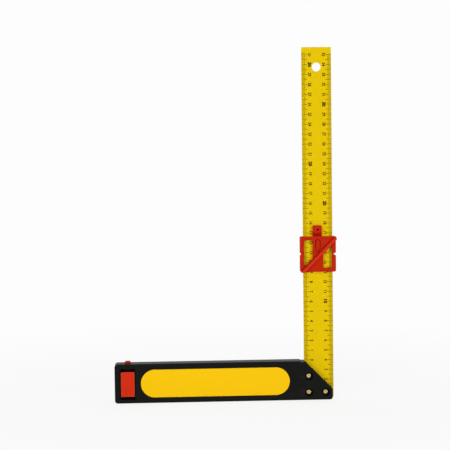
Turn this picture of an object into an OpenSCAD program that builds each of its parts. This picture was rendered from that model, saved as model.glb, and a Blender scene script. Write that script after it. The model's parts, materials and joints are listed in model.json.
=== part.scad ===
// Carpenter square: a printed steel blade riveted into a two-shell handle, with a marking cursor
// that slides along the blade and a small edge stop that slides in the handle's end cap.
// The origin is the middle of the handle's base edge, +X runs along the handle to the blade,
// +Z runs up the blade, and the front faces -Y. The square stands on its base edge.

/* [Blade] */
// Length from the handle's base edge to the free end
blade_length = 357.5; // [300:0.5:420]
// Width of the blade
blade_width = 30; // [27:0.5:34]
// Thickness of the steel strip
blade_thickness = 1.2; // [0.8:0.1:2]
// Radius of the two corners at the free end
blade_corner_r = 0.8; // [0.2:0.1:4]
// Diameter of the hanging hole
hang_hole_d = 9; // [5:0.5:14]
// Distance from the free end to the centre of the hanging hole
hang_hole_inset = 20; // [12:0.5:40]

/* [Handle] */
// Length from the end cap's face to the blade's outer edge
handle_length = 223; // [180:0.5:280]
// Height from the base edge to the inner edge
handle_height = 40; // [37:0.5:48]
// Thickness from the front face to the rear face
handle_thickness = 16; // [15:0.5:22]
// Wall of the two shells
shell_wall = 2.4; // [1.8:0.1:3]
// Rounding of the handle's outer edges
edge_round = 1.2; // [0.4:0.1:1.8]
// Radius of the two corners at the end cap
end_corner_r = 3.2; // [2.2:0.1:5]
// Radius of the corner at the heel
heel_r = 3.5; // [2.2:0.1:5]
// Angle of the mitred shoulder
mitre_angle = 45; // [40:1:48]
// Radius where the mitre meets the handle's end
tip_r = 4; // [2.2:0.1:6]
// Setback of the handle's end from the blade's outer edge
tip_setback = 1.4; // [0.5:0.1:3]
// Length of the relief in the inside corner
relief_length = 4; // [2:0.1:8]
// Depth of the relief in the inside corner
relief_depth = 0.9; // [0.4:0.1:2]

/* [Blade rivets] */
// Diameter of the rivet shanks
rivet_d = 4; // [3:0.1:4.4]
// Diameter of the rivets' formed ends
rivet_end_d = 5.2; // [4.8:0.1:6]
// Height of the rivets' formed ends
rivet_end_h = 1; // [0.6:0.1:1.4]
// Diameter of the counterbores
rivet_bore_d = 8.2; // [7:0.1:9]
// Depth of the counterbores below the handle's faces
rivet_bore_depth = 4.6; // [2.4:0.1:5.2]
// Thickness of the washer at the foot of each counterbore
rivet_washer_t = 0.8; // [0.5:0.1:1]
// Distance of the outer rivet from the blade's outer edge
rivet_edge = 8.7; // [7:0.1:11]
// Height of the two lower rivets above the base edge
rivet_base = 7.8; // [7:0.1:11]
// Spacing of the two lower rivets
rivet_pitch_x = 17.1; // [12:0.1:18]
// Height of the upper rivet above the lower ones
rivet_pitch_z = 16.6; // [12:0.1:19]

/* [Labels] */
// Margin of the labels to the base edge and the inner edge
label_margin = 5.85; // [4.5:0.05:8]
// Gap between the end cap's seam and the labels
label_seam_gap = 5.2; // [4:0.1:10]
// Gap between the labels and the blade's inner edge
label_blade_gap = 15.4; // [10:0.1:30]
// Thickness of the label plates
label_thickness = 1; // [0.6:0.1:1.4]
// Clearance round the label plates
label_clearance = 0.25; // [0.1:0.05:0.5]

/* [Shell screws] */
// Diameter of the screws that join the two shells
screw_d = 3; // [2.5:0.1:3.4]
// Diameter of the screw heads
screw_head_d = 5.6; // [5:0.1:6]
// Height of the screw heads
screw_head_h = 1.8; // [1.4:0.1:2.2]
// Diameter of the screw bosses inside the shells
screw_boss_d = 8.4; // [7.6:0.1:10]
// Distance of the outer screws from the ends of the label
screw_inset = 14; // [12:0.5:24]

/* [End cap] */
// Length of the end cap
cap_length = 21.3; // [19:0.1:28]
// Wall between the end cap's face and the thumb window
cap_end_wall = 5.2; // [4.2:0.1:6.2]
// Height left above and below the thumb window
cap_wall = 4.4; // [4:0.1:5.4]
// How far the thumb window lies below the handle's middle line
window_drop = 0.5; // [0:0.1:0.8]
// Rear wall of the end cap
cap_rear_wall = 3.6; // [2.6:0.1:4.4]
// Reach of the two retaining lugs into the shells
lug_length = 8; // [6:0.5:11]
// Width of the retaining lugs
lug_width = 8; // [5:0.5:9]
// Thickness of the retaining lugs
lug_thickness = 1.8; // [1.4:0.1:2.4]
// Height of the catch on each lug
lug_catch = 0.9; // [0.5:0.1:1.1]

/* [Edge stop] */
// Travel of the stop up and down from its rest place
stop_travel = 3; // [1.5:0.1:3.4]
// Gap left at the ends of the travel
stop_end_gap = 0.15; // [0.1:0.05:0.4]
// Gap between the thumb pad and the sides of its window
pad_side_gap = 1.25; // [0.5:0.05:1.5]
// How far the thumb pad stands out of the handle's face
pad_proud = 0.4; // [0:0.1:1]
// Thickness of the thumb pad's plate
pad_plate = 2.2; // [1.6:0.1:2.6]
// Width of the lips that keep the stop in its window
lip_width = 1.2; // [0.8:0.1:1.4]
// Thickness of those lips
lip_thickness = 1.1; // [0.8:0.1:1.5]
// Width of the stop's peg
peg_width = 6; // [4:0.1:9]
// Thickness of the stop's peg
peg_depth = 3.6; // [2.4:0.1:5]
// How far the peg stands above the inner edge at rest
peg_rise = 2.2; // [1.6:0.1:4]
// Chamfer at the peg's end
peg_chamfer = 0.9; // [0.4:0.1:1.4]
// Width of the stop bar's spine
spine_width = 11; // [9.5:0.1:12]
// Thickness of the friction spring's strip
spring_strip = 0.4; // [0.2:0.1:0.6]
// Width of the friction spring's strip
spring_width = 5; // [3:0.1:7]
// Length of the friction spring
spring_length = 18; // [14:0.5:22]

/* [Cursor] */
// Height of the cursor's index notches above the base edge
cursor_height = 148.5; // [70:0.5:290]
// Height of the cursor's frame
cursor_frame_h = 36; // [33:0.5:45]
// Arm of the cursor outside each edge of the blade
cursor_arm = 3; // [2.8:0.1:4]
// Thickness of the cursor's front plate
cursor_front = 3; // [2.8:0.1:4]
// Thickness of the cursor's rear frame
cursor_rear = 1.8; // [1.2:0.1:3]
// Border round the cursor's windows
cursor_border = 3.9; // [3.2:0.1:4.6]
// Width of the column between the two front windows
column_width = 10.6; // [9.8:0.1:11.4]
// Reach of the rear frame over the blade's edges
rear_reach = 4.5; // [3:0.1:7]
// Running clearance between the cursor and the blade
cursor_clearance = 0.2; // [0.1:0.05:0.4]
// Width of the diagonal rib
rib_width = 3; // [2:0.1:4]
// Height of the diagonal rib above the front plate
rib_height = 3; // [1:0.1:4]
// How far the rib's ends pass the frame's corners
rib_overhang = 0.6; // [0.2:0.1:1.2]
// Radius that the rib's ends follow at the frame's corners
rib_end_r = 2.6; // [1.8:0.1:4]
// Angle of the diagonal rib
rib_angle = 45.5; // [43:0.5:47]
// How far the rib runs below the middle of the frame
rib_drop = 2.5; // [1.5:0.1:3]
// Ledge of the front plate above the rib
upper_ledge = 0.8; // [0.6:0.1:1.6]
// Ledge of the front plate below the rib
lower_ledge = 0.25; // [0.1:0.05:0.6]
// Flat at the narrow corner of each front window
window_flat = 1.4; // [0.8:0.1:2]
// Half height of the index notches
notch_half = 1.6; // [1:0.1:2.4]
// Depth of the index notch beside the inner scale
inner_notch = 1.4; // [0.8:0.1:2]
// Depth of the index notch beside the outer scale
outer_notch = 2.6; // [0.8:0.1:2.8]

/* [Brake lever] */
// Width of the lever in its channel
lever_width = 8; // [7:0.1:8.4]
// Thickness of the lever
lever_thickness = 1; // [0.8:0.1:1.2]
// Running clearance round the lever
lever_clearance = 0.2; // [0.15:0.05:0.3]
// Depth of the lever's channel in the front plate
channel_depth = 2.3; // [2.2:0.1:2.4]
// How far the tab stands above the cursor's frame
tab_reach = 11.2; // [9:0.1:15]
// Length of the raised part of the tab
tab_length = 7.4; // [6:0.1:8.4]
// How far the tab is wider than the lever, on the side of the inner scale
tab_side = 1.2; // [0.4:0.1:2]
// Thickness of the raised part of the tab
tab_thickness = 2.2; // [2:0.1:2.3]
// Diameter of the dimple in the tab
dimple_d = 2.3; // [1.5:0.1:4]
// Depth of the dimple in the tab
dimple_depth = 1.9; // [0.4:0.1:1.9]
// Distance from the dimple's centre to the end of the tab
dimple_inset = 4.4; // [3:0.1:5]
// Diameter of the lever's trunnions
trunnion_d = 1.4; // [1:0.1:1.5]
// Length of each trunnion outside the lever
trunnion_length = 1.2; // [0.8:0.1:1.8]
// Radial clearance of the trunnions
trunnion_clearance = 0.05; // [0.02:0.01:0.1]
// Distance from the trunnions to the top of the cursor's frame
trunnion_inset = 1.6; // [1.4:0.1:1.8]
// Width of the finger opening over the lever
finger_d = 5.5; // [5:0.1:6]
// Distance from the opening's upper centre to the top of the frame
finger_inset = 5.5; // [5.2:0.1:6]
// Length of the opening's straight part
finger_length = 4.9; // [4:0.1:5.4]
// Length of the opening's tapered end
finger_taper = 4.1; // [3.6:0.1:4.6]
// Radius of the opening's lower end
finger_tip_r = 1.75; // [1.4:0.05:2]
// Gap round the lever's finger pad in that opening
finger_gap = 0.7; // [0.3:0.05:0.9]
// How far the finger pad lies below the front plate's face
finger_recess = 0.7; // [0:0.1:0.7]
// Diameter of the rubber brake pad
brake_pad_d = 4; // [3:0.1:5]
// Gap between the brake pad and the blade
brake_gap = 0.1; // [0.05:0.01:0.15]

/* [Hidden] */
RIVETS = ["upper", "inner", "outer"];
SCREWS = ["left", "middle", "right"];

$fn = 48;
// Overlap that keeps cuts and joins clean
eps = 0.5;
// Small gap between pieces that are pressed or laid together
seat_gap = 0.1;

black = "#222120";
yellow = "#E6C700";
label_yellow = "#F5C40A";
red = "#D23012";
brass = "#C9AE7C";
dark_steel = "#2B2B2D";
steel = "#A9ABAE";
rubber = "#303030";

// Places along the handle
heel_x = handle_length / 2;
cap_x = -handle_length / 2;
seam_x = cap_x + cap_length;
handle_end_x = heel_x - tip_setback;
blade_inner_x = heel_x - blade_width;
middle_z = handle_height / 2;
half_t = handle_thickness / 2;
half_blade = blade_thickness / 2;
shoulder_r = 1.2;

// Labels
label_left_x = seam_x + label_seam_gap;
label_right_x = blade_inner_x - label_blade_gap;
label_height = handle_height - 2 * label_margin;
label_floor = half_t - label_thickness;

// Shell interior: the cavity leaves a solid cheek beside the blade
cavity_depth = label_floor - shell_wall;
cavity_left_x = seam_x + shell_wall;
cavity_right_x = label_right_x - shell_wall;
rivet_grip = half_t - rivet_bore_depth;
rivet_places = [
    [heel_x - rivet_edge - rivet_pitch_x, rivet_base + rivet_pitch_z],
    [heel_x - rivet_edge - rivet_pitch_x, rivet_base],
    [heel_x - rivet_edge, rivet_base]
];

// Shell screws, on the handle's middle line
screw_seat = label_floor - screw_head_h - seat_gap;
screw_tip = cavity_depth + seat_gap;
screw_xs = [
    label_left_x + screw_inset,
    (label_left_x + label_right_x) / 2,
    label_right_x - screw_inset
];

// Lugs of the end cap
lug_end_x = seam_x + lug_length;
catch_length = 3;

// Thumb window and edge stop, from the front face inwards
window_left_x = cap_x + cap_end_wall;
window_width = seam_x - window_left_x;
window_height = handle_height - 2 * cap_wall;
window_z = middle_z - window_drop;
window_low = window_z - window_height / 2;
window_high = window_z + window_height / 2;
pad_front_y = -half_t - pad_proud;
pad_back_y = pad_front_y + pad_plate;
lip_front_y = pad_back_y + 2 * seat_gap;
lip_back_y = lip_front_y + lip_thickness;
flange_front_y = lip_back_y + 2 * seat_gap;
flange_t = 1.6;
flange_back_y = flange_front_y + flange_t;
pocket_back_y = half_t - cap_rear_wall;
spring_room = 2;
spine_back_y = pocket_back_y - spring_room;
pad_height = window_height - 2 * (stop_travel + stop_end_gap);
pad_width = window_width - 2 * pad_side_gap;
pad_x = (window_left_x + seam_x) / 2;
peg_gap = 0.25;
peg_front_y = spine_back_y - peg_depth;
pad_corner_r = 0.4;
stud_d = 3;
stud_reach = 2;
stud_z = pad_height / 4;

// Cursor, centred on the blade
cursor_x = heel_x - blade_width / 2;
cursor_w = blade_width + 2 * (cursor_clearance + cursor_arm);
plate_back_y = -half_blade - cursor_clearance;
plate_front_y = plate_back_y - cursor_front;
rear_front_y = half_blade + cursor_clearance;
rear_back_y = rear_front_y + cursor_rear;
cursor_top = cursor_frame_h / 2;
cursor_corner_r = 1.5;
rib_length = 2 * (cursor_w + cursor_frame_h);

// Brake lever, from the blade outwards
skin_back_y = plate_back_y - channel_depth;
lever_back_y = plate_back_y - 2 * lever_clearance;
lever_front_y = lever_back_y - lever_thickness;
tab_front_y = plate_front_y + seat_gap;
tab_back_y = tab_front_y + tab_thickness;
trunnion_y = (lever_back_y + lever_front_y) / 2;
trunnion_w = cursor_top - trunnion_inset;
finger_w = cursor_top - finger_inset;
finger_front_y = plate_front_y + finger_recess;
finger_low_w = finger_w - finger_length;
finger_tip_w = finger_low_w - finger_taper;
tail_cover = 0.4;
lever_tail_w = finger_tip_w - finger_tip_r - tail_cover;
tab_top_w = cursor_top + tab_reach;
riser_length = 1.8;
neck_step = 0.2;
tab_corner_r = 1;
brake_pad_w = finger_low_w;
brake_pad_seat = 0.3;

// Places a turned part along +Y from the point x, y, z
module along_y(x, y, z) {
    translate([x, y, z]) rotate([-90, 0, 0]) children();
}

// Extrudes an outline drawn in X and Z from y0 to y1
module plate(y0, y1) {
    translate([0, y1, 0]) rotate([90, 0, 0]) linear_extrude(y1 - y0) children();
}

// Box between two corners
module box(low, high) {
    translate(low) cube(high - low);
}

// Rectangle with round corners, centred
module rounded_rect(w, h, r) {
    square([w - 2 * r, h], center = true);
    square([w, h - 2 * r], center = true);
    for (sx = [-1, 1], sz = [-1, 1]) translate([sx * (w / 2 - r), sz * (h / 2 - r)]) circle(r);
}

// What rounding takes off a square corner at x, z that points towards sx, sz
module corner_cut(x, z, r, sx, sz) {
    translate([x, z]) difference() {
        translate([sx > 0 ? -r : -eps, sz > 0 ? -r : -eps]) square(r + eps);
        translate([-sx * r, -sz * r]) circle(r);
    }
}

// Outline of the handle: corner circles joined through their tangent points
module handle_outline() {
    normal = [sin(mitre_angle), cos(mitre_angle)];
    heel = [handle_end_x - heel_r, heel_r];
    tip_x = handle_end_x - tip_r;
    tip = [tip_x, handle_height - tip_r / normal[1] - (tip_x - blade_inner_x) * tan(mitre_angle)];
    shoulder = [blade_inner_x - shoulder_r * (1 - normal[1]) / normal[0], handle_height - shoulder_r];
    top = [cap_x + end_corner_r, handle_height - end_corner_r];
    base = [cap_x + end_corner_r, end_corner_r];
    up = [0, 1];
    left = [-1, 0];
    polygon([
        heel - heel_r * up, heel - heel_r * left,
        tip - tip_r * left, tip + tip_r * normal,
        shoulder + shoulder_r * normal, shoulder + shoulder_r * up,
        top + end_corner_r * up, top + end_corner_r * left,
        base + end_corner_r * left, base - end_corner_r * up
    ]);
    translate(heel) circle(heel_r);
    translate(tip) circle(tip_r);
    translate(shoulder) circle(shoulder_r);
    translate(top) circle(end_corner_r);
    translate(base) circle(end_corner_r);
}

// Bar along X, as thick as the handle, whose long edges are rounded
module edge_bar(length, height) {
    rotate([90, 0, 90]) linear_extrude(length, center = true)
        rounded_rect(handle_thickness, height, edge_round);
}

// Whole outside of the handle, end cap included
module handle_form() {
    reach = 2 * handle_length;
    outer_length = handle_end_x - cap_x;
    intersection() {
        plate(-half_t, half_t) handle_outline();
        translate([0, 0, middle_z]) edge_bar(reach, handle_height);
        translate([cap_x + outer_length / 2, 0, 0]) rotate([0, 90, 0]) edge_bar(reach, outer_length);
        translate([blade_inner_x, 0, handle_height]) rotate([0, mitre_angle, 0])
            translate([0, 0, -reach / 2]) edge_bar(2 * reach, reach);
    }
}

// Outline of a label, grown by a clearance
module label_outline(grow) {
    r = label_height / 2;
    for (x = [label_left_x + r, label_right_x - r]) translate([x, middle_z]) circle(r + grow);
    translate([label_left_x + r, label_margin - grow])
        square([label_right_x - label_left_x - 2 * r, label_height + 2 * grow]);
}

// Everything cut from either shell; side is -1 at the front and 1 at the rear
module shell_cuts(side) {
    far = side * (half_t + eps);
    plate(min(far, side * label_floor), max(far, side * label_floor)) label_outline(label_clearance);
    box([blade_inner_x - seat_gap, -half_blade, -eps], [heel_x + eps, half_blade, handle_height + eps]);
    box([blade_inner_x - relief_length, -half_t - eps, handle_height - relief_depth],
        [heel_x, half_t + eps, handle_height + eps]);
    for (p = rivet_places) {
        along_y(p[0], -half_t - eps, p[1]) cylinder(d = rivet_d + seat_gap, h = handle_thickness + 2 * eps);
        along_y(p[0], side > 0 ? rivet_grip : -half_t - eps, p[1])
            cylinder(d = rivet_bore_d, h = rivet_bore_depth + eps);
    }
    half_lug = lug_width / 2 + seat_gap;
    for (top = [0, 1]) mirror_height(top) {
        box([seam_x - eps, -half_lug, shell_wall],
            [cavity_left_x + eps, half_lug, shell_wall + lug_thickness + 2 * seat_gap]);
        box([lug_end_x - catch_length - seat_gap, -half_lug, shell_wall - lug_catch - seat_gap],
            [lug_end_x + seat_gap, half_lug, shell_wall + eps]);
    }
}

// Draws children as they are, or turned over about the handle's middle line
module mirror_height(top) {
    if (top == 1) translate([0, 0, handle_height]) mirror([0, 0, 1]) children();
    else children();
}

// One half of the handle with its cavity
module shell_half(side) {
    low_y = side < 0 ? -half_t - eps : 0;
    cavity_y = side < 0 ? -cavity_depth : -eps;
    difference() {
        intersection() {
            handle_form();
            box([seam_x, low_y, -eps], [heel_x + eps, low_y + half_t + eps, handle_height + eps]);
        }
        box([cavity_left_x, cavity_y, shell_wall],
            [cavity_right_x, cavity_y + cavity_depth + eps, handle_height - shell_wall]);
    }
}

module front_shell() {
    color(black) {
        difference() {
            union() {
                shell_half(-1);
                for (x = screw_xs) along_y(x, -label_floor, middle_z)
                    cylinder(d = screw_boss_d, h = label_floor);
            }
            shell_cuts(-1);
            for (x = screw_xs) {
                along_y(x, -label_floor - eps, middle_z)
                    cylinder(d = screw_head_d + 4 * seat_gap, h = label_floor - screw_seat + eps);
                along_y(x, -label_floor, middle_z)
                    cylinder(d = screw_d + 4 * seat_gap, h = label_floor + eps);
            }
        }
        box([seam_x - lip_width, lip_front_y, window_low + seat_gap],
            [seam_x + shell_wall, lip_back_y, window_high - seat_gap]);
    }
}

module rear_shell() {
    color(black) difference() {
        union() {
            shell_half(1);
            for (x = screw_xs) along_y(x, 0, middle_z) cylinder(d = screw_boss_d, h = label_floor);
        }
        shell_cuts(1);
        for (x = screw_xs) along_y(x, -eps, middle_z) cylinder(d = screw_d, h = screw_tip + eps + seat_gap);
    }
}

module front_label() {
    color(label_yellow) plate(-half_t, -label_floor) label_outline(0);
}

module rear_label() {
    color(label_yellow) plate(label_floor, half_t) label_outline(0);
}

module blade() {
    color(yellow) difference() {
        plate(-half_blade, half_blade) difference() {
            translate([blade_inner_x, 0]) square([blade_width, blade_length]);
            corner_cut(heel_x, 0, heel_r, 1, -1);
            corner_cut(heel_x, blade_length, blade_corner_r, 1, 1);
            corner_cut(blade_inner_x, blade_length, blade_corner_r, -1, 1);
        }
        along_y(cursor_x, -half_blade - eps, blade_length - hang_hole_inset)
            cylinder(d = hang_hole_d, h = blade_thickness + 2 * eps);
        for (p = rivet_places)
            along_y(p[0], -half_blade - eps, p[1])
                cylinder(d = rivet_d + seat_gap, h = blade_thickness + 2 * eps);
    }
}

// Semi-tubular rivet, formed over a washer at each end
module rivet(place) {
    grip = rivet_grip + rivet_washer_t;
    bevel = rivet_end_h / 3;
    tube_d = rivet_d / 2;
    color(brass) along_y(place[0], 0, place[1]) difference() {
        union() {
            cylinder(d = rivet_d, h = 2 * grip + eps, center = true);
            for (turn = [0, 180]) rotate([turn, 0, 0]) translate([0, 0, grip]) {
                cylinder(d = rivet_end_d, h = rivet_end_h - bevel);
                translate([0, 0, rivet_end_h - bevel])
                    cylinder(d1 = rivet_end_d, d2 = rivet_end_d - 2 * bevel, h = bevel);
            }
        }
        for (turn = [0, 180]) rotate([turn, 0, 0])
            translate([0, 0, grip + bevel]) cylinder(d1 = tube_d / 2, d2 = tube_d, h = rivet_end_h);
    }
}

// Washer at the foot of a counterbore
module washer(place, side) {
    foot = side < 0 ? -rivet_grip - rivet_washer_t : rivet_grip;
    color(dark_steel) along_y(place[0], foot, place[1]) difference() {
        cylinder(d = rivet_bore_d - 2 * seat_gap, h = rivet_washer_t);
        translate([0, 0, -eps]) cylinder(d = rivet_d + seat_gap, h = rivet_washer_t + 2 * eps);
    }
}

// Pan-head screw with a cross recess, under the front label
module shell_screw(x) {
    rim = screw_head_h / 2;
    crown_d = screw_head_d - 2 * rim;
    slot_length = crown_d - 2 * seat_gap;
    slot_width = slot_length / 3;
    color(steel) along_y(x, -screw_seat, middle_z) difference() {
        union() {
            cylinder(d = screw_d - seat_gap / 2, h = screw_seat + screw_tip);
            translate([0, 0, -rim]) cylinder(d = screw_head_d, h = rim);
            translate([0, 0, -screw_head_h])
                cylinder(d1 = crown_d, d2 = screw_head_d, h = screw_head_h - rim);
        }
        for (turn = [0, 90]) rotate([0, 0, turn])
            translate([-slot_length / 2, -slot_width / 2, -screw_head_h - eps])
                cube([slot_length, slot_width, rim + eps]);
    }
}

// Lug that holds the end cap between the shells, with its catch
module cap_lug() {
    lug_low = shell_wall + seat_gap;
    half_lug = lug_width / 2;
    box([seam_x - 2 * eps, -half_lug, lug_low], [lug_end_x, half_lug, lug_low + lug_thickness]);
    box([lug_end_x - catch_length, -half_lug, lug_low - lug_catch], [lug_end_x, half_lug, lug_low + eps]);
}

module end_cap() {
    half_seat_w = spring_width / 2 + seat_gap;
    half_seat_l = spring_length / 2 + seat_gap;
    color(black) difference() {
        union() {
            intersection() {
                handle_form();
                box([cap_x - eps, -half_t - eps, -eps], [seam_x, half_t + eps, handle_height + eps]);
            }
            for (top = [0, 1]) mirror_height(top) cap_lug();
        }
        box([window_left_x, -half_t - eps, window_low], [seam_x + eps, lip_front_y, window_high]);
        box([window_left_x + lip_width, lip_front_y - eps, window_low],
            [seam_x + eps, lip_back_y + eps, window_high]);
        box([window_left_x, lip_back_y, window_low], [seam_x + eps, pocket_back_y, window_high]);
        box([pad_x - half_seat_w, pocket_back_y - eps, window_z - half_seat_l],
            [pad_x + half_seat_w, pocket_back_y + spring_strip, window_z + half_seat_l]);
        box([pad_x - peg_width / 2 - peg_gap, peg_front_y - peg_gap, window_high - eps],
            [pad_x + peg_width / 2 + peg_gap, spine_back_y + peg_gap, handle_height + eps]);
    }
}

// Slide inside the end cap: a flange behind the lips, a spine, and a peg through the inner edge
module stop_bar() {
    low = window_z - pad_height / 2;
    high = window_z + pad_height / 2;
    peg_top = handle_height + peg_rise;
    half_peg = peg_width / 2;
    color(red) difference() {
        union() {
            box([window_left_x + peg_gap, flange_front_y, low], [seam_x - peg_gap, flange_back_y, high]);
            box([pad_x - spine_width / 2, flange_back_y - eps, low],
                [pad_x + spine_width / 2, spine_back_y, high]);
            plate(peg_front_y, spine_back_y) polygon([
                [pad_x - half_peg, high - eps], [pad_x + half_peg, high - eps],
                [pad_x + half_peg, peg_top - peg_chamfer], [pad_x + half_peg - peg_chamfer, peg_top],
                [pad_x - half_peg + peg_chamfer, peg_top], [pad_x - half_peg, peg_top - peg_chamfer]
            ]);
        }
        for (side = [-1, 1])
            along_y(pad_x, flange_front_y - eps, window_z + side * stud_z)
                cylinder(d = stud_d + seat_gap, h = flange_t + stud_reach + 2 * eps);
    }
}

// Thumb pad in the window, pressed into the stop bar by two studs
module thumb_pad() {
    neck_width = pad_width - 2 * (lip_width - pad_side_gap) - 4 * peg_gap;
    neck_height = pad_height - 2;
    color(red) {
        translate([pad_x, 0, window_z]) {
            plate(pad_front_y, pad_back_y) rounded_rect(pad_width, pad_height, pad_corner_r);
            plate(pad_back_y - eps, flange_front_y) square([neck_width, neck_height], center = true);
        }
        for (side = [-1, 1])
            along_y(pad_x, flange_front_y - eps, window_z + side * stud_z)
                cylinder(d = stud_d, h = flange_t + stud_reach);
    }
}

// Bowed strip behind the stop bar that holds the stop where it is put
module stop_spring() {
    crest_y = spine_back_y + seat_gap;
    seat_y = pocket_back_y + spring_strip;
    bow = seat_y - spring_strip - crest_y;
    radius = (spring_length * spring_length / 4 + bow * bow) / (2 * bow);
    color(steel) intersection() {
        translate([pad_x - spring_width / 2, crest_y + radius, window_z]) rotate([0, 90, 0]) difference() {
            cylinder(r = radius, h = spring_width, $fn = 96);
            translate([0, 0, -eps])
                cylinder(r = radius - spring_strip, h = spring_width + 2 * eps, $fn = 96);
        }
        box([pad_x - spring_width, crest_y - eps, window_z - spring_length / 2],
            [pad_x + spring_width, seat_y, window_z + spring_length / 2]);
    }
}

// Front window of the cursor: side is -1 left of the column and above the rib, 1 right of it and below
module cursor_window(side) {
    outer_u = side * (cursor_w / 2 - cursor_border);
    inner_u = side * column_width / 2;
    far_w = -side * (cursor_top - cursor_border);
    ledge = side < 0 ? upper_ledge : lower_ledge;
    shift = -rib_drop - side * (rib_width / 2 + ledge) / cos(rib_angle);
    flat_u = outer_u - side * window_flat * cos(rib_angle);
    polygon([
        [inner_u, far_w], [inner_u, inner_u * tan(rib_angle) + shift],
        [flat_u, flat_u * tan(rib_angle) + shift],
        [outer_u, outer_u * tan(rib_angle) + shift - side * window_flat], [outer_u, far_w]
    ]);
}

// Opening over the lever: a slot with a tapered lower end
module finger_outline(shrink) {
    r = finger_d / 2 - shrink;
    tip = finger_tip_r - shrink / 2;
    translate([0, finger_w]) circle(r);
    translate([0, finger_low_w]) circle(r);
    translate([0, finger_tip_w]) circle(tip);
    polygon([
        [-r, finger_w], [r, finger_w], [r, finger_low_w],
        [tip, finger_tip_w], [-tip, finger_tip_w], [-r, finger_low_w]
    ]);
}

// Index notches in both sides of the cursor
module index_notches() {
    edge = cursor_w / 2;
    for (notch = [[-1, inner_notch], [1, outer_notch]]) polygon([
        [notch[0] * (edge + eps), notch_half * (1 + eps / notch[1])],
        [notch[0] * (edge - notch[1]), 0],
        [notch[0] * (edge + eps), -notch_half * (1 + eps / notch[1])]
    ]);
}

// Places the cursor's own outlines, drawn about its middle, on the blade
module on_cursor() {
    translate([cursor_x, 0, cursor_height]) children();
}

module cursor_frame() {
    slot_half = blade_width / 2 + cursor_clearance;
    rear_half = blade_width / 2 - rear_reach;
    channel_half = lever_width / 2 + lever_clearance;
    socket_r = trunnion_d / 2 + trunnion_clearance;
    socket_half = lever_width / 2 + trunnion_length + lever_clearance;
    color(red) on_cursor() difference() {
        union() {
            difference() {
                plate(plate_front_y, rear_back_y) rounded_rect(cursor_w, cursor_frame_h, cursor_corner_r);
                box([-slot_half, plate_back_y, -cursor_frame_h], [slot_half, rear_front_y, cursor_frame_h]);
                plate(plate_front_y - eps, plate_back_y + eps)
                    for (side = [-1, 1]) cursor_window(side);
                plate(rear_front_y - eps, rear_back_y + eps)
                    square([2 * rear_half, cursor_frame_h - 4 * cursor_border], center = true);
            }
            plate(plate_front_y - rib_height, plate_front_y + eps) intersection() {
                translate([0, -rib_drop]) rotate(rib_angle)
                    square([rib_length, rib_width], center = true);
                rounded_rect(cursor_w + 2 * rib_overhang, cursor_frame_h + 2 * rib_overhang, rib_end_r);
            }
        }
        plate(plate_front_y - rib_height - eps, rear_back_y + eps) index_notches();
        box([-channel_half, skin_back_y, lever_tail_w - lever_clearance * 2],
            [channel_half, plate_back_y + eps, cursor_top + eps]);
        plate(plate_front_y - eps, skin_back_y + eps) finger_outline(0);
        translate([-socket_half, trunnion_y, trunnion_w]) rotate([0, 90, 0])
            cylinder(r = socket_r, h = 2 * socket_half);
        box([-socket_half, trunnion_y, trunnion_w - socket_r],
            [socket_half, plate_back_y + eps, trunnion_w + socket_r]);
    }
}

// Spring-loaded lever: the tab outside the frame lifts the brake pad off the blade
module brake_lever() {
    half = lever_width / 2;
    riser_w = tab_top_w - tab_length;
    neck_w = cursor_top + 2 * lever_clearance;
    wide = -half - tab_side;
    pin_half = half + trunnion_length;
    color(red) on_cursor() difference() {
        union() {
            box([-half, lever_front_y, lever_tail_w], [half, lever_back_y, neck_w + eps]);
            translate([wide, 0, 0]) rotate([90, 0, 90]) linear_extrude(half - wide) polygon([
                [lever_back_y, neck_w], [lever_front_y, neck_w], [tab_front_y + neck_step, riser_w],
                [tab_front_y + neck_step, riser_w + riser_length], [lever_back_y, riser_w + riser_length]
            ]);
            plate(tab_front_y, tab_back_y) translate([-tab_side / 2, riser_w + tab_length / 2])
                rounded_rect(lever_width + tab_side, tab_length, tab_corner_r);
            translate([-pin_half, trunnion_y, trunnion_w]) rotate([0, 90, 0])
                cylinder(d = trunnion_d, h = 2 * pin_half);
            plate(finger_front_y, lever_front_y + eps) finger_outline(finger_gap);
        }
        along_y(0, tab_front_y - eps, tab_top_w - dimple_inset)
            cylinder(d = dimple_d, h = dimple_depth + eps);
        along_y(0, lever_back_y - brake_pad_seat, brake_pad_w)
            cylinder(d = brake_pad_d + seat_gap, h = brake_pad_seat + eps);
    }
}

// Rubber disc that presses on the blade
module brake_pad() {
    foot_y = lever_back_y - brake_pad_seat;
    color(rubber) on_cursor() along_y(0, foot_y, brake_pad_w)
        cylinder(d = brake_pad_d, h = -half_blade - brake_gap - foot_y);
}

blade();
front_shell();
rear_shell();
front_label();
rear_label();
end_cap();
for (i = [0:2]) {
    rivet(rivet_places[i]);
    washer(rivet_places[i], -1);
    washer(rivet_places[i], 1);
    shell_screw(screw_xs[i]);
}
stop_bar();
thumb_pad();
stop_spring();
cursor_frame();
brake_lever();
brake_pad();
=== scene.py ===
import json
import math

import bmesh
import bpy
from mathutils import Euler, Matrix, Vector


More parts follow.
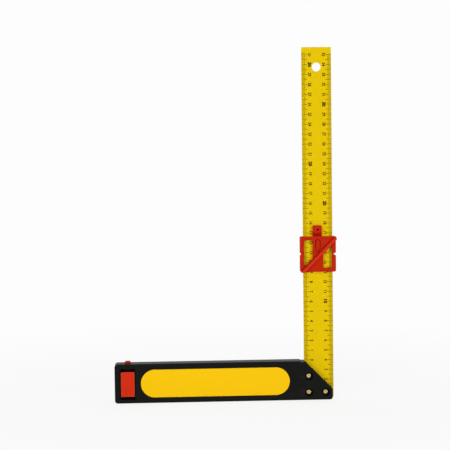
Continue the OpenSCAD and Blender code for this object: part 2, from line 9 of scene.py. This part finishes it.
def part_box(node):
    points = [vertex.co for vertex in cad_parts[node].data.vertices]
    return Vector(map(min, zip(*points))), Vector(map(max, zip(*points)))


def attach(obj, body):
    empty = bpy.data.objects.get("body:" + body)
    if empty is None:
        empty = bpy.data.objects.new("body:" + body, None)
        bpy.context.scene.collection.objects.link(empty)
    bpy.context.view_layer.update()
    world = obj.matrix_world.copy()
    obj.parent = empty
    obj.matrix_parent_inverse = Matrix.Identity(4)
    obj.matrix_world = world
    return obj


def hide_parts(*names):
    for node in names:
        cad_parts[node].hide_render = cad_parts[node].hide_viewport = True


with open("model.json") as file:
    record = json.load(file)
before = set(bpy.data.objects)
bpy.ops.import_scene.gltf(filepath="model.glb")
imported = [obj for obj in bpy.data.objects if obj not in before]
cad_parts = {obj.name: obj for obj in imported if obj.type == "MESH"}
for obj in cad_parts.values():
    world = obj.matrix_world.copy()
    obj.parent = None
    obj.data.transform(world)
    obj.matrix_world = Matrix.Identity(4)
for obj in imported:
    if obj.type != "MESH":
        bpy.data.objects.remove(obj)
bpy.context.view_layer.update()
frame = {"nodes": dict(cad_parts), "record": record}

MM = 0.001

# Camera, fitted to the ticks of the two printed scales
CAMERA_PLACE = (-0.04821, -1.36522, 0.26471)
CAMERA_TURN_DEG = (86.422, 0.7285, -2.1744)
CAMERA_LENS_MM = 108.09
CAMERA_SENSOR_MM = 36.0
CAMERA_REACH = 50.0

# Light level at which a colour renders about as it is written: a lit backdrop behind the square,
# a dimmer room on the camera's side, two low lamps at the sides and a large one above
BACKDROP_LIGHT = 0.85
ROOM_LIGHT = 0.2
# Y of the light's direction where the room ends and where the full backdrop starts
ROOM_END, BACKDROP_START = -0.4, 0.2
LAMP_TARGET = (0.0, 0.0, 0.15)
# Name, place, size and power of each lamp
LAMPS = [
    ("right_lamp", (4.6, -6.2, 0.8), 1.2, 220.0),
    ("left_lamp", (-4.6, -6.2, 0.8), 1.2, 110.0),
    ("high_lamp", (-2.0, -6.6, 5.0), 3.0, 145.0),
]

# White ground: the share of plain white that the camera sees in it grows to all of it from near the
# square to far away
BACKGROUND_COLOUR = "FDFDFD"
FLOOR_HALF_WIDTH = 8.0
FLOOR_WHITE = 0.86
FLOOR_NEAR, FLOOR_FAR = 0.2, 0.6

# Points within this reach of each other are made one: on the moulded pieces, on the rivets, and on the
# printed numbers, whose outlines are finer than the print shows
WELD_REACH = 0.0005 * MM
RIVET_WELD_REACH = 0.001 * MM
INK_WELD_REACH = 0.003 * MM
# Neighbouring faces within this angle of each other are made one flat face
FLAT_WITHIN = math.radians(0.5)

# Edge radii of the moulded pieces in millimetres, on edges that turn by more than the angle
EDGE_RADII = {
    "front_shell": 0.25, "rear_shell": 0.25, "end_cap": 0.25,
    "front_label": 0.15, "rear_label": 0.15,
    "thumb_pad": 0.45, "stop_bar": 0.3,
    "cursor_frame": 0.25, "brake_lever": 0.2,
}
EDGE_ANGLE = math.radians(35)
EDGE_STEPS = 3

# Depths at which the red pieces begin to be painted lighter, as painted light on what stands out at the
# front, and are painted fully lighter
PAINTED_LIGHT_FROM, PAINTED_LIGHT_FULL = -5.4 * MM, -6.4 * MM
# Stretches of the red pieces, in millimetres, with a colour of their own: painted shade, and on the
# pad's edges a painted highlight
THUMB_PAD = {"Y": (-9.0, 0.0)}
LEVER_NECK = {"Z": (166.5, 170.2)}
DIMPLE_BOTTOM = {"X": (95.3, 97.7), "Y": (-2.4, -1.65), "Z": (172.1, 174.5)}
SLIDE_INSIDE = {"Z": (0.0, 36.5)}

# Printed scales: each starts at its own zero and runs up the blade
PITCH = 1.0 * MM
STEPS_PER_NUMBER = 10
INK_FILM = 0.04 * MM
TICK_SHORT = 3.8 * MM
TICK_HALF = 5.6 * MM
TICK_TEN = 6.0 * MM
TICK_WIDTH = 0.24 * MM
TICK_BOLD_WIDTH = 0.4 * MM
OUTER_FIRST, OUTER_LAST = 12, 350
INNER_FIRST, INNER_LAST = 0, 312
OUTER_NUMBER_INSET = 7.6 * MM
INNER_NUMBER_INSET = 8.2 * MM
# Most numbers are plain, and the tens are larger and bolder
NUMBER_PRINT = {"height": 3.0 * MM, "pair_length": 4.2 * MM, "weight": 0.12 * MM}
TEN_PRINT = {"height": 3.3 * MM, "pair_length": 5.2 * MM, "weight": 0.26 * MM}
NUMBER_CURVE_STEPS = 3
# The plain built-in typeface: its size and the length of two digits, for digits 1 high
FONT_SIZE_PER_HEIGHT = 1.4
FONT_PAIR_PER_HEIGHT = 1.55

# Blade rivets
RIVET_NODES = ["rivet_upper", "rivet_inner", "rivet_outer"]
RIVET_SHANK_RADIUS = 2.0 * MM
RIVET_END_HEIGHT = 1.0 * MM
RIVET_TURN_STEPS = 32
# Outline of a rolled end from its dimple outwards: the share of its radius, and the drop from its top
# as a share of its height
RIVET_END_OUTLINE = [
    (0.0, 0.16), (0.24, 0.14), (0.42, 0.04), (0.6, 0.0),
    (0.8, 0.05), (0.93, 0.25), (1.0, 0.6), (0.97, 1.0),
]


# Node trees and meshes

def linear(hex_colour):
    """Turns an sRGB hex colour into a linear RGBA value."""
    channels = [int(hex_colour[i:i + 2], 16) / 255 for i in (0, 2, 4)]
    return [c / 12.92 if c <= 0.04045 else ((c + 0.055) / 1.055) ** 2.4 for c in channels] + [1.0]


def across(size_mm):
    """The scale of a pattern whose features are this many millimetres across."""
    return 1 / (size_mm * MM)


def plug(tree, node, inputs):
    """Sets a node's inputs, or links them to the outputs given for them."""
    for socket, value in inputs.items():
        if isinstance(value, bpy.types.NodeSocket):
            tree.links.new(value, node.inputs[socket])
        else:
            node.inputs[socket].default_value = value


def add(tree, kind, inputs=None, **settings):
    """Adds a node with its settings, and sets or links its inputs."""
    node = tree.nodes.new(kind)
    for name, value in settings.items():
        setattr(node, name, value)
    plug(tree, node, inputs or {})
    return node


def start_material(name):
    """A new material, its tree, its shader and its Object coordinates."""
    material = bpy.data.materials.new(name)
    material.use_nodes = True
    tree = material.node_tree
    tree.nodes.clear()
    shader = add(tree, "ShaderNodeBsdfPrincipled")
    add(tree, "ShaderNodeOutputMaterial", {"Surface": shader.outputs["BSDF"]})
    place = add(tree, "ShaderNodeTexCoord").outputs["Object"]
    return material, tree, shader, place


def piece_from_mesh(name, mesh):
    """Puts a mesh into the scene as an object at the origin."""
    piece = bpy.data.objects.new(name, mesh)
    bpy.context.scene.collection.objects.link(piece)
    return piece


def plain_mesh(carrier):
    """The carrier's evaluated shape as a mesh with no modifiers left."""
    bpy.context.view_layer.update()
    shaped = carrier.evaluated_get(bpy.context.evaluated_depsgraph_get())
    mesh = bpy.data.meshes.new_from_object(shaped)
    bpy.data.objects.remove(carrier)
    return mesh


def welded(mesh, reach, merge_flat=False, turn_out=False):
    """Joins points that lie within the reach of each other and takes out faces without area. On request
    it merges flat neighbours into one face and turns all faces outwards."""
    shape = bmesh.new()
    shape.from_mesh(mesh)
    bmesh.ops.remove_doubles(shape, verts=shape.verts, dist=reach)
    bmesh.ops.dissolve_degenerate(shape, edges=shape.edges, dist=reach)
    if merge_flat:
        bmesh.ops.dissolve_limit(
            shape, angle_limit=FLAT_WITHIN, verts=shape.verts, edges=shape.edges)
    if turn_out:
        bmesh.ops.recalc_face_normals(shape, faces=shape.faces)
    shape.to_mesh(mesh)
    shape.free()
    return mesh


def shaped_by_tree(name, tree, mesh, values):
    """Runs a geometry tree on a mesh and returns the result as a plain piece."""
    carrier = piece_from_mesh(name + "_carrier", mesh)
    modifier = carrier.modifiers.new("shape", "NODES")
    modifier.node_group = tree
    for item in tree.interface.items_tree:
        if item.item_type == "SOCKET" and item.in_out == "INPUT" and item.name in values:
            modifier[item.identifier] = values[item.name]
    return piece_from_mesh(name, plain_mesh(carrier))


# Materials

def yellow_lacquer():
    """Stoved yellow lacquer on a rolled steel strip: satin, with faint streaks along the strip."""
    material, tree, shader, place = start_material("yellow_lacquer_on_steel")
    # Rolling streaks 0.5 mm wide and 40 mm long, drawn coarser than real ones so that they show
    along = add(tree, "ShaderNodeMapping", {
        "Vector": place, "Scale": (across(0.5), across(0.5), across(40))})
    streaks = add(tree, "ShaderNodeTexNoise", {
        "Vector": along.outputs["Vector"], "Scale": 1.0, "Detail": 2.0})
    # Uneven film thickness about 30 mm across
    film = add(tree, "ShaderNodeTexNoise", {"Vector": place, "Scale": across(30.3), "Detail": 1.0})
    colour = add(tree, "ShaderNodeMixRGB", {
        "Fac": film.outputs["Fac"], "Color1": linear("DBB900"), "Color2": linear("E2C100")})
    gloss = add(tree, "ShaderNodeMapRange", {
        "Value": streaks.outputs["Fac"], "To Min": 0.36, "To Max": 0.48})
    bump = add(tree, "ShaderNodeBump", {
        "Height": streaks.outputs["Fac"], "Strength": 0.05, "Distance": 0.02 * MM})
    plug(tree, shader, {
        "Base Color": colour.outputs["Color"], "Roughness": gloss.outputs["Result"],
        "Normal": bump.outputs["Normal"], "Specular IOR Level": 0.05})
    return material


def black_plastic():
    """Moulded black ABS with a fine spark-eroded grain: dull from the front, grey at a low angle."""
    material, tree, shader, place = start_material("black_moulded_abs")
    # Grain 0.4 mm across, about twice the real one, so that it shows
    grain = add(tree, "ShaderNodeTexNoise", {"Vector": place, "Scale": across(0.4), "Detail": 2.0})
    # Flow marks of the moulding about 25 mm across
    flow = add(tree, "ShaderNodeTexNoise", {"Vector": place, "Scale": across(25), "Detail": 2.0})
    colour = add(tree, "ShaderNodeMixRGB", {
        "Fac": flow.outputs["Fac"], "Color1": linear("0B0B0A"), "Color2": linear("11110F")})
    gloss = add(tree, "ShaderNodeMapRange", {
        "Value": grain.outputs["Fac"], "To Min": 0.36, "To Max": 0.48})
    bump = add(tree, "ShaderNodeBump", {
        "Height": grain.outputs["Fac"], "Strength": 0.15, "Distance": 0.05 * MM})
    plug(tree, shader, {
        "Base Color": colour.outputs["Color"], "Roughness": gloss.outputs["Result"],
        "Normal": bump.outputs["Normal"], "Specular IOR Level": 0.07})
    return material


def yellow_plate():
    """Yellow polystyrene label plate: an even warm yellow with a faint orange-peel surface."""
    material, tree, shader, place = start_material("yellow_polystyrene_plate")
    # Orange peel about 2 mm across, and a change of tone about 50 mm across
    peel = add(tree, "ShaderNodeTexNoise", {"Vector": place, "Scale": across(2), "Detail": 1.0})
    tone = add(tree, "ShaderNodeTexNoise", {"Vector": place, "Scale": across(50), "Detail": 1.0})
    colour = add(tree, "ShaderNodeMixRGB", {
        "Fac": tone.outputs["Fac"], "Color1": linear("F2C208"), "Color2": linear("F6C60A")})
    gloss = add(tree, "ShaderNodeMapRange", {
        "Value": peel.outputs["Fac"], "To Min": 0.38, "To Max": 0.48})
    bump = add(tree, "ShaderNodeBump", {
        "Height": peel.outputs["Fac"], "Strength": 0.06, "Distance": 0.05 * MM})
    plug(tree, shader, {
        "Base Color": colour.outputs["Color"], "Roughness": gloss.outputs["Result"],
        "Normal": bump.outputs["Normal"], "Specular IOR Level": 0.05})
    return material


def red_plastic(name, *zones):
    """Red moulded acetal: a dense colour, with painted light: lighter where it stands out at the front.
    Each zone is a stretch along one or more axes, in millimetres, and the painted shade or painted
    highlight that the red has there."""
    material, tree, shader, place = start_material(name)
    # Fine mould texture 0.5 mm across, coarser than the real one, so that it shows
    grain = add(tree, "ShaderNodeTexNoise", {"Vector": place, "Scale": across(0.5), "Detail": 2.0})
    # Pigment flow about 8 mm across
    flow = add(tree, "ShaderNodeTexNoise", {"Vector": place, "Scale": across(8), "Detail": 2.0})
    moulded = add(tree, "ShaderNodeMixRGB", {
        "Fac": flow.outputs["Fac"], "Color1": linear("B22005"), "Color2": linear("BC2607")})
    # Painted light: what stands furthest out at the front is drawn lighter, as if it caught more light
    axes = add(tree, "ShaderNodeSeparateXYZ", {0: place}).outputs
    painted_light = add(tree, "ShaderNodeMapRange", {
        "Value": axes["Y"], "From Min": PAINTED_LIGHT_FROM, "From Max": PAINTED_LIGHT_FULL},
        interpolation_type="SMOOTHSTEP")
    colour = add(tree, "ShaderNodeMixRGB", {
        "Fac": painted_light.outputs["Result"], "Color1": moulded.outputs["Color"],
        "Color2": linear("CC2D11")})
    # Each zone's colour is painted shade or a painted highlight laid over its stretch
    for stretches, shade in zones:
        share = 1.0
        for axis, (low, high) in stretches.items():
            inside = add(tree, "ShaderNodeMath", {
                0: axes[axis], 1: (low + high) / 2 * MM, 2: (high - low) / 2 * MM},
                operation="COMPARE").outputs[0]
            share = add(tree, "ShaderNodeMath", {
                0: share, 1: inside}, operation="MULTIPLY").outputs[0]
        colour = add(tree, "ShaderNodeMixRGB", {
            "Fac": share, "Color1": colour.outputs["Color"], "Color2": linear(shade)})
    gloss = add(tree, "ShaderNodeMapRange", {
        "Value": grain.outputs["Fac"], "To Min": 0.34, "To Max": 0.46})
    bump = add(tree, "ShaderNodeBump", {
        "Height": grain.outputs["Fac"], "Strength": 0.1, "Distance": 0.03 * MM})
    plug(tree, shader, {
        "Base Color": colour.outputs["Color"], "Roughness": gloss.outputs["Result"],
        "Normal": bump.outputs["Normal"], "Specular IOR Level": 0.05})
    return material


def brass():
    """Pale brass, pressed and left unpolished: warm, with dull patches from forming."""
    material, tree, shader, place = start_material("pale_formed_brass")
    # Forming marks 0.8 mm across
    marks = add(tree, "ShaderNodeTexNoise", {"Vector": place, "Scale": across(0.8), "Detail": 3.0})
    colour = add(tree, "ShaderNodeMixRGB", {
        "Fac": marks.outputs["Fac"], "Color1": linear("A38957"), "Color2": linear("B7A479")})
    gloss = add(tree, "ShaderNodeMapRange", {
        "Value": marks.outputs["Fac"], "To Min": 0.5, "To Max": 0.3})
    bump = add(tree, "ShaderNodeBump", {
        "Height": marks.outputs["Fac"], "Strength": 0.15, "Distance": 0.05 * MM})
    plug(tree, shader, {
        "Base Color": colour.outputs["Color"], "Roughness": gloss.outputs["Result"],
        "Normal": bump.outputs["Normal"], "Metallic": 1.0})
    return material


def steel(name, dark, light, rough_low, rough_high):
    """Plain steel under a thin finish: fine pitted grain 0.5 mm across that breaks up the shine."""
    material, tree, shader, place = start_material(name)
    pits = add(tree, "ShaderNodeTexNoise", {"Vector": place, "Scale": across(0.5), "Detail": 3.0})
    colour = add(tree, "ShaderNodeMixRGB", {
        "Fac": pits.outputs["Fac"], "Color1": linear(dark), "Color2": linear(light)})
    gloss = add(tree, "ShaderNodeMapRange", {
        "Value": pits.outputs["Fac"], "To Min": rough_low, "To Max": rough_high})
    plug(tree, shader, {
        "Base Color": colour.outputs["Color"], "Roughness": gloss.outputs["Result"],
        "Metallic": 1.0})
    return material


def rubber():
    """Black nitrile rubber: dull, with a soft grain 0.4 mm across."""
    material, tree, shader, place = start_material("black_nitrile_rubber")
    grain = add(tree, "ShaderNodeTexNoise", {"Vector": place, "Scale": across(0.4), "Detail": 2.0})
    colour = add(tree, "ShaderNodeMixRGB", {
        "Fac": grain.outputs["Fac"], "Color1": linear("1E1E1E"), "Color2": linear("2C2C2C")})
    bump = add(tree, "ShaderNodeBump", {
        "Height": grain.outputs["Fac"], "Strength": 0.3, "Distance": 0.05 * MM})
    plug(tree, shader, {
        "Base Color": colour.outputs["Color"], "Roughness": 0.85, "Normal": bump.outputs["Normal"]})
    return material


def printing_ink():
    """Screen-printing ink: brown-black and dull, a little thin in places."""
    material, tree, shader, place = start_material("dark_screen_ink")
    # Thin places about 1.5 mm across
    cover = add(tree, "ShaderNodeTexNoise", {"Vector": place, "Scale": across(1.54), "Detail": 2.0})
    colour = add(tree, "ShaderNodeMixRGB", {
        "Fac": cover.outputs["Fac"], "Color1": linear("140D01"), "Color2": linear("2A1C02")})
    plug(tree, shader, {
        "Base Color": colour.outputs["Color"], "Roughness": 0.7, "Specular IOR Level": 0.06})
    return material


FINISHES = {
    "lacquered_steel": yellow_lacquer(),
    "black_plastic": black_plastic(),
    "yellow_label": yellow_plate(),
    "red_plastic": red_plastic("red_moulded_acetal"),
    "brass": brass(),
    "blackened_steel": steel(
        "blackened_steel", dark="0D0D0D", light="1A1A1A", rough_low=0.5, rough_high=0.65),
    "zinc_steel": steel(
        "zinc_plated_steel", dark="9EA0A4", light="C3C5C8", rough_low=0.3, rough_high=0.45),
    "brake_rubber": rubber(),
}
# Painted shade: the lever's neck under its tab, the bottom of the dimple in that tab, and the slide's
# part that stays inside the handle are painted deeper red, standing in for the shade that falls there
NODE_FINISHES = {
    "brake_lever": red_plastic(
        "red_lever_acetal", (LEVER_NECK, "A50B03"), (DIMPLE_BOTTOM, "5A0401")),
    "stop_bar": red_plastic("red_slide_acetal", (SLIDE_INSIDE, "2E0301")),
}
# Painted highlight: the pad's edge radius is painted paler red, standing in for the light its edges
# catch
PAINTED_EDGE_HIGHLIGHTS = {"thumb_pad": red_plastic("red_acetal_painted_edge_highlight", (THUMB_PAD, "CC6A56"))}
ink = printing_ink()

slot_of = {part["node"]: part["material_slot"] for part in frame["record"]["subparts"]}
body_nodes = frame["record"]["behaviour"]["bodies"]
body_of = {node: body for body, nodes in body_nodes.items() for node in nodes}
for node, thing in frame["nodes"].items():
    thing.data.materials.clear()
    thing.data.materials.append(NODE_FINISHES.get(node, FINISHES[slot_of[node]]))


# Moulded pieces with their small edge radii

def softened(node, radius):
    """A copy of a CAD node whose sharp edges have a small radius, standing for that node."""
    mesh = welded(frame["nodes"][node].data.copy(), WELD_REACH, merge_flat=True)
    carrier = piece_from_mesh(node + "_carrier", mesh)
    bevel = carrier.modifiers.new("edge radius", "BEVEL")
    bevel.width = radius
    bevel.segments = EDGE_STEPS
    bevel.limit_method = "ANGLE"
    bevel.angle_limit = EDGE_ANGLE
    bevel.harden_normals = True
    # Painted highlight: the pad's edge radius gets the paler red material
    if node in PAINTED_EDGE_HIGHLIGHTS:
        mesh.materials.append(PAINTED_EDGE_HIGHLIGHTS[node])
        bevel.material = 1
    piece = piece_from_mesh("moulded_" + node, welded(plain_mesh(carrier), WELD_REACH))
    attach(piece, body_of[node])
    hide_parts(node)


for node, radius in EDGE_RADII.items():
    softened(node, radius * MM)


# Printed scales

def tick_tree():
    """Ticks along an edge: short ones each step, longer and bolder ones each fifth and tenth."""
    tree = bpy.data.node_groups.new("scale_ticks", "GeometryNodeTree")
    sockets = [
        ("First", "NodeSocketInt"), ("Count", "NodeSocketInt"), ("Zero", "NodeSocketVector"),
        ("Pitch", "NodeSocketFloat"), ("Inward", "NodeSocketFloat"), ("Short", "NodeSocketFloat"),
        ("Half", "NodeSocketFloat"), ("Ten", "NodeSocketFloat"), ("Width", "NodeSocketFloat"),
        ("Bold width", "NodeSocketFloat"), ("Film", "NodeSocketFloat"),
    ]
    for name, kind in sockets:
        tree.interface.new_socket(name, in_out="INPUT", socket_type=kind)
    tree.interface.new_socket("Geometry", in_out="OUTPUT", socket_type="NodeSocketGeometry")
    given = add(tree, "NodeGroupInput").outputs
    index = add(tree, "GeometryNodeInputIndex").outputs[0]
    number = add(tree, "ShaderNodeMath", {0: index, 1: given["First"]}, operation="ADD").outputs[0]
    steps = {}
    for count in (5, 10):
        rest = add(tree, "ShaderNodeMath", {
            0: number, 1: float(count)}, operation="MODULO").outputs[0]
        steps[count] = add(tree, "ShaderNodeMath", {
            0: rest, 1: 0.5}, operation="LESS_THAN").outputs[0]
    length = given["Short"]
    for count, name in ((5, "Half"), (10, "Ten")):
        length = add(tree, "ShaderNodeMix", {
            "Factor": steps[count], 2: length, 3: given[name]}).outputs[0]
    width = add(tree, "ShaderNodeMix", {
        "Factor": steps[5], 2: given["Width"], 3: given["Bold width"]}).outputs[0]
    rise = add(tree, "ShaderNodeMath", {
        0: given["First"], 1: given["Pitch"]}, operation="MULTIPLY").outputs[0]
    rise = add(tree, "ShaderNodeCombineXYZ", {"Z": rise}).outputs[0]
    start = add(tree, "ShaderNodeVectorMath", {
        0: given["Zero"], 1: rise}, operation="ADD").outputs[0]
    step = add(tree, "ShaderNodeCombineXYZ", {"Z": given["Pitch"]}).outputs[0]
    line = add(tree, "GeometryNodeMeshLine", {
        "Count": given["Count"], "Start Location": start, "Offset": step}, mode="OFFSET")
    half = add(tree, "ShaderNodeMath", {0: length, 1: 0.5}, operation="MULTIPLY").outputs[0]
    reach = add(tree, "ShaderNodeMath", {
        0: half, 1: given["Inward"]}, operation="MULTIPLY").outputs[0]
    reach = add(tree, "ShaderNodeCombineXYZ", {"X": reach}).outputs[0]
    placed = add(tree, "GeometryNodeSetPosition", {
        "Geometry": line.outputs["Mesh"], "Offset": reach})
    scale = add(tree, "ShaderNodeCombineXYZ", {
        "X": length, "Y": given["Film"], "Z": width}).outputs[0]
    cube = add(tree, "GeometryNodeMeshCube", {"Size": (1, 1, 1)}).outputs["Mesh"]
    ticks = add(tree, "GeometryNodeInstanceOnPoints", {
        "Points": placed.outputs["Geometry"], "Instance": cube, "Scale": scale})
    solid = add(tree, "GeometryNodeRealizeInstances", {"Geometry": ticks.outputs["Instances"]})
    inked = add(tree, "GeometryNodeSetMaterial", {
        "Geometry": solid.outputs["Geometry"], "Material": ink})
    add(tree, "NodeGroupOutput", {"Geometry": inked.outputs["Geometry"]})
    return tree


def number_mesh(text, height, pair_length, weight):
    """A printed number as a thin closed mesh, centred on its own origin."""
    words = bpy.data.curves.new("number", "FONT")
    words.body = text
    words.size = height * FONT_SIZE_PER_HEIGHT
    words.offset = weight
    words.extrude = INK_FILM / 2
    words.resolution_u = NUMBER_CURVE_STEPS
    mesh = plain_mesh(piece_from_mesh("number_carrier", words))
    welded(mesh, INK_WELD_REACH, merge_flat=True, turn_out=True)
    low = [min(v.co[i] for v in mesh.vertices) for i in (0, 1)]
    high = [max(v.co[i] for v in mesh.vertices) for i in (0, 1)]
    stretch = pair_length / (height * FONT_PAIR_PER_HEIGHT)
    middle = Matrix.Translation((-(low[0] + high[0]) / 2, -(low[1] + high[1]) / 2, 0))
    mesh.transform(Matrix.Diagonal((stretch, 1, 1, 1)) @ middle)
    return mesh


ticks = tick_tree()
blade_low, blade_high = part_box("blade")
inner_edge = blade_low.x
outer_edge = blade_high.x
inner_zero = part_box("front_shell")[1].z


def printed_face(name, side):
    """Both scales on one face of the blade: side is -1 for the front and 1 for the rear."""
    face = (blade_high.y if side > 0 else blade_low.y) + side * INK_FILM / 2
    scales = [
        ("outer", outer_edge, 0.0, -1.0, OUTER_FIRST, OUTER_LAST, OUTER_NUMBER_INSET),
        ("inner", inner_edge, inner_zero, 1.0, INNER_FIRST, INNER_LAST, INNER_NUMBER_INSET),
    ]
    # Numbers read downwards on both faces
    turn = Matrix(((0, -side, 0, 0), (0, 0, side, 0), (-1, 0, 0, 0), (0, 0, 0, 1)))
    numbers = bmesh.new()
    for scale, edge, zero, inward, first, last, inset in scales:
        lines = shaped_by_tree(f"{name}_ticks_{scale}", ticks, bpy.data.meshes.new("ticks"), {
            "First": first, "Count": last - first + 1, "Zero": (edge, face, zero), "Pitch": PITCH,
            "Inward": inward, "Short": TICK_SHORT, "Half": TICK_HALF, "Ten": TICK_TEN,
            "Width": TICK_WIDTH, "Bold width": TICK_BOLD_WIDTH, "Film": INK_FILM})
        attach(lines, "square")
        for value in range(math.ceil(first / STEPS_PER_NUMBER), last // STEPS_PER_NUMBER + 1):
            is_ten = value % 10 == 0 and value > 0
            mesh = number_mesh(str(value), **(TEN_PRINT if is_ten else NUMBER_PRINT))
            height = zero + value * STEPS_PER_NUMBER * PITCH
            spot = Matrix.Translation((edge + inward * inset, face, height))
            mesh.transform(spot @ turn)
            numbers.from_mesh(mesh)
            bpy.data.meshes.remove(mesh)
    mesh = bpy.data.meshes.new(f"{name}_numbers")
    numbers.to_mesh(mesh)
    numbers.free()
    mesh.materials.append(ink)
    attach(piece_from_mesh(f"{name}_numbers", mesh), "square")


printed_face("front", -1)
printed_face("rear", 1)


# Blade rivets

def turned_rivet(end_radius, half_length):
    """A tubular rivet turned about Y, with a rolled end and a dimple on both sides."""
    half = [
        (radius * end_radius, half_length - drop * RIVET_END_HEIGHT)
        for radius, drop in RIVET_END_OUTLINE
    ]
    half.append((RIVET_SHANK_RADIUS, half_length - RIVET_END_HEIGHT))
    outline = half + [(r, -y) for r, y in reversed(half)]
    shape = bmesh.new()
    points = [shape.verts.new((r, y, 0)) for r, y in outline]
    edges = [shape.edges.new(pair) for pair in zip(points, points[1:])]
    bmesh.ops.spin(shape, geom=points + edges, cent=(0, 0, 0), axis=(0, 1, 0),
                   angle=2 * math.pi, steps=RIVET_TURN_STEPS, use_merge=True)
    bmesh.ops.remove_doubles(shape, verts=shape.verts, dist=RIVET_WELD_REACH)
    bmesh.ops.recalc_face_normals(shape, faces=shape.faces)
    mesh = bpy.data.meshes.new("turned_rivet")
    shape.to_mesh(mesh)
    shape.free()
    mesh.shade_smooth()
    return mesh


def rivet_tree():
    """Sets the given rivet on every point."""
    tree = bpy.data.node_groups.new("rivet_set", "GeometryNodeTree")
    tree.interface.new_socket("Geometry", in_out="INPUT", socket_type="NodeSocketGeometry")
    tree.interface.new_socket("Rivet", in_out="INPUT", socket_type="NodeSocketObject")
    tree.interface.new_socket("Geometry", in_out="OUTPUT", socket_type="NodeSocketGeometry")
    given = add(tree, "NodeGroupInput").outputs
    pattern = add(tree, "GeometryNodeObjectInfo", {"Object": given["Rivet"]})
    rivets = add(tree, "GeometryNodeInstanceOnPoints", {
        "Points": given["Geometry"], "Instance": pattern.outputs["Geometry"]})
    solid = add(tree, "GeometryNodeRealizeInstances", {"Geometry": rivets.outputs["Instances"]})
    made = add(tree, "GeometryNodeSetMaterial", {
        "Geometry": solid.outputs["Geometry"], "Material": FINISHES["brass"]})
    add(tree, "NodeGroupOutput", {"Geometry": made.outputs["Geometry"]})
    return tree


rivet_low, rivet_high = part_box(RIVET_NODES[0])
rivet_pattern = piece_from_mesh("rivet_pattern", turned_rivet(
    (rivet_high.x - rivet_low.x) / 2, (rivet_high.y - rivet_low.y) / 2))
rivet_points = bpy.data.meshes.new("rivet_points")
rivet_points.from_pydata([sum(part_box(node), Vector()) / 2 for node in RIVET_NODES], [], [])
rivets = shaped_by_tree("blade_rivets", rivet_tree(), rivet_points, {"Rivet": rivet_pattern})
bpy.data.objects.remove(rivet_pattern)
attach(rivets, "square")
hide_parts(*RIVET_NODES)


# Floor, light and camera

def seen_directly(tree):
    """1 for what the camera sees, plainly or in a shiny or clear surface, and 0 for all other light."""
    path = add(tree, "ShaderNodeLightPath").outputs
    seen = path["Is Camera Ray"]
    for ray in ("Is Glossy Ray", "Is Transmission Ray"):
        seen = add(tree, "ShaderNodeMath", {0: seen, 1: path[ray]}, operation="MAXIMUM").outputs[0]
    return seen


def studio_floor():
    """Matt white floor: plain white to the camera, with a light shadow kept close to the square."""
    mesh = bpy.data.meshes.new("floor")
    corners = [(x * FLOOR_HALF_WIDTH, y * FLOOR_HALF_WIDTH, 0)
               for x, y in ((-1, -1), (1, -1), (1, 1), (-1, 1))]
    mesh.from_pydata(corners, [], [(0, 1, 2, 3)])
    material = bpy.data.materials.new("matt_white_floor")
    material.use_nodes = True
    tree = material.node_tree
    tree.nodes.clear()
    place = add(tree, "ShaderNodeTexCoord").outputs["Object"]
    away = add(tree, "ShaderNodeVectorMath", {0: place}, operation="LENGTH").outputs["Value"]
    share = add(tree, "ShaderNodeMapRange", {
        "Value": away, "From Min": FLOOR_NEAR, "From Max": FLOOR_FAR,
        "To Min": FLOOR_WHITE, "To Max": 1.0})
    paint = add(tree, "ShaderNodeBsdfDiffuse", {"Color": linear(BACKGROUND_COLOUR)})
    white = add(tree, "ShaderNodeEmission", {"Color": linear(BACKGROUND_COLOUR), "Strength": 1.0})
    shadowed = add(tree, "ShaderNodeMixShader", {
        "Fac": share.outputs["Result"], 1: paint.outputs[0], 2: white.outputs[0]})
    look = add(tree, "ShaderNodeMixShader", {
        "Fac": seen_directly(tree), 1: paint.outputs[0], 2: shadowed.outputs[0]})
    add(tree, "ShaderNodeOutputMaterial", {"Surface": look.outputs[0]})
    mesh.materials.append(material)
    piece_from_mesh("floor", mesh)


def studio_sky():
    """Soft light, brighter behind the square than on the camera's side, with a white background."""
    world = bpy.data.worlds.new("studio_sky")
    world.use_nodes = True
    tree = world.node_tree
    tree.nodes.clear()
    aim = add(tree, "ShaderNodeSeparateXYZ", {0: add(tree, "ShaderNodeTexCoord").outputs["Generated"]})
    level = add(tree, "ShaderNodeMapRange", {
        "Value": aim.outputs["Y"], "From Min": ROOM_END, "From Max": BACKDROP_START,
        "To Min": ROOM_LIGHT, "To Max": BACKDROP_LIGHT}, interpolation_type="SMOOTHSTEP")
    light = add(tree, "ShaderNodeBackground", {
        "Color": linear("FFFFFF"), "Strength": level.outputs["Result"]})
    white = add(tree, "ShaderNodeBackground", {"Color": linear(BACKGROUND_COLOUR), "Strength": 1.0})
    both = add(tree, "ShaderNodeMixShader", {
        "Fac": seen_directly(tree), 1: light.outputs[0], 2: white.outputs[0]})
    add(tree, "ShaderNodeOutputWorld", {"Surface": both.outputs[0]})
    bpy.context.scene.world = world


def soft_lamp(name, place, size, power):
    """A square soft box that faces the carpenter square."""
    lamp = bpy.data.lights.new(name, "AREA")
    lamp.size = size
    lamp.energy = power
    thing = piece_from_mesh(name, lamp)
    thing.location = place
    aim = Vector(LAMP_TARGET) - Vector(place)
    thing.rotation_euler = aim.to_track_quat("-Z", "Y").to_euler()


studio_floor()
studio_sky()
for lamp in LAMPS:
    soft_lamp(*lamp)

camera = piece_from_mesh("camera", bpy.data.cameras.new("camera"))
camera.data.lens = CAMERA_LENS_MM
camera.data.sensor_width = CAMERA_SENSOR_MM
camera.data.clip_end = CAMERA_REACH
camera.location = CAMERA_PLACE
camera.rotation_euler = Euler([math.radians(a) for a in CAMERA_TURN_DEG])
bpy.context.scene.camera = camera
bpy.context.scene.view_settings.view_transform = "Standard"
